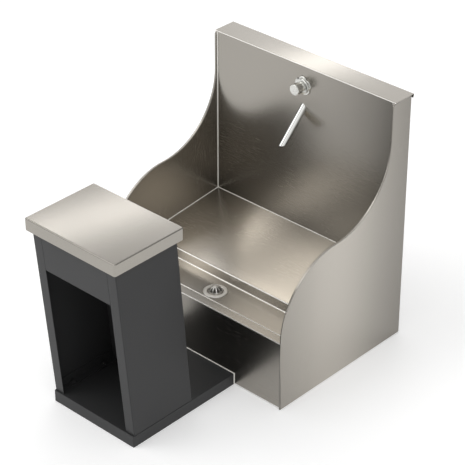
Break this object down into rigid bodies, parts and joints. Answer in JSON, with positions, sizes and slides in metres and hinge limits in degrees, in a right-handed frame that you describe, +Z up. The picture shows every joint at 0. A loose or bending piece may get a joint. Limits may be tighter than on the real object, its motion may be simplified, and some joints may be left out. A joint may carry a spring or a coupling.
{
  "type": "handwash sink",
  "caption": "Floor-standing stainless wash station: splashback with push-button tap and spout, sloping deck, drain trough, and a seat on an open-fronted pedestal.",
  "frame": {"origin": "middle of the footprint, on the floor", "axes": "+X to the right for a person who sits on the seat and faces the tap, +Y from the seat to the splashback, +Z up"},
  "size_m": [0.703, 1.0255, 0.821],
  "materials": {
    "stainless": "satin brushed, vertical grain",
    "chrome": "polished",
    "brass": "turned",
    "zinc_steel": "zinc plated",
    "powder_coat": "fine satin powder coat",
    "rubber": "matte",
    "white_plastic": "moulded",
    "lever_coating": "dipped coating",
    "board": "sanded"
  },
  "bodies": {
    "cabinet": {"side_panel_left": "stainless", "side_panel_right": "stainless", "side_liner_left": "stainless", "side_liner_right": "stainless", "back_panel": "stainless", "top_cap": "stainless", "wash_deck": "stainless", "front_panel": "stainless", "deck_channel": "stainless", "rear_upright_left": "stainless", "rear_upright_right": "stainless", "rear_access_panel": "stainless", "seat_top": "stainless", "valve_collar": "chrome", "valve_body": "chrome", "spout_tube": "chrome", "waste_body": "chrome", "valve_locknut": "brass", "valve_chamber": "brass", "spout_union_nut": "brass", "supply_pipe_upper": "brass", "supply_pipe_lower": "brass", "isolating_valve": "brass", "inlet_connector": "brass", "bottom_rail_left": "zinc_steel", "bottom_rail_right": "zinc_steel", "rear_bottom_rail": "zinc_steel", "rear_panel_screw_1": "zinc_steel", "rear_panel_screw_2": "zinc_steel", "rear_panel_screw_3": "zinc_steel", "rear_panel_screw_4": "zinc_steel", "rear_panel_screw_5": "zinc_steel", "rear_panel_screw_6": "zinc_steel", "valve_spring": "zinc_steel", "lever_nut": "zinc_steel", "base_nut_left": "zinc_steel", "base_nut_right": "zinc_steel", "foot_nut_1": "zinc_steel", "foot_nut_2": "zinc_steel", "foot_nut_3": "zinc_steel", "foot_nut_4": "zinc_steel", "base_plinth": "powder_coat", "pedestal_side_left": "powder_coat", "pedestal_side_right": "powder_coat", "pedestal_header": "powder_coat", "pedestal_back_panel": "powder_coat", "foot_angle_left": "powder_coat", "foot_angle_right": "powder_coat", "seat_angle_left": "powder_coat", "seat_angle_right": "powder_coat", "waste_gasket": "rubber", "waste_locknut": "white_plastic", "trap_body": "white_plastic", "trap_dip_tube": "white_plastic", "trap_cup": "white_plastic", "waste_pipe": "white_plastic", "seat_board": "board"},
    "push_button": {"push_button": "chrome"},
    "isolating_lever": {"isolating_lever": "lever_coating"},
    "drain_strainer": {"drain_strainer": "chrome"}
  },
  "joints": [
    {"name": "button_press", "type": "slide", "parent": "cabinet", "child": "push_button", "axis": [0, 1, 0], "range_m": [0, 0.0065], "stiffness_N_per_m": 600, "springref_m": -0.01, "deforming": ["valve_spring"]},
    {"name": "isolating_lever_turn", "type": "hinge", "parent": "cabinet", "child": "isolating_lever", "pos_m": [0.09, 0.489, 0.442], "axis": [0, 1, 0], "range_deg": [0, 90]},
    {"name": "strainer_lift", "type": "slide", "parent": "cabinet", "child": "drain_strainer", "axis": [0, 0, 1], "range_m": [0, 0.06]}
  ]
}
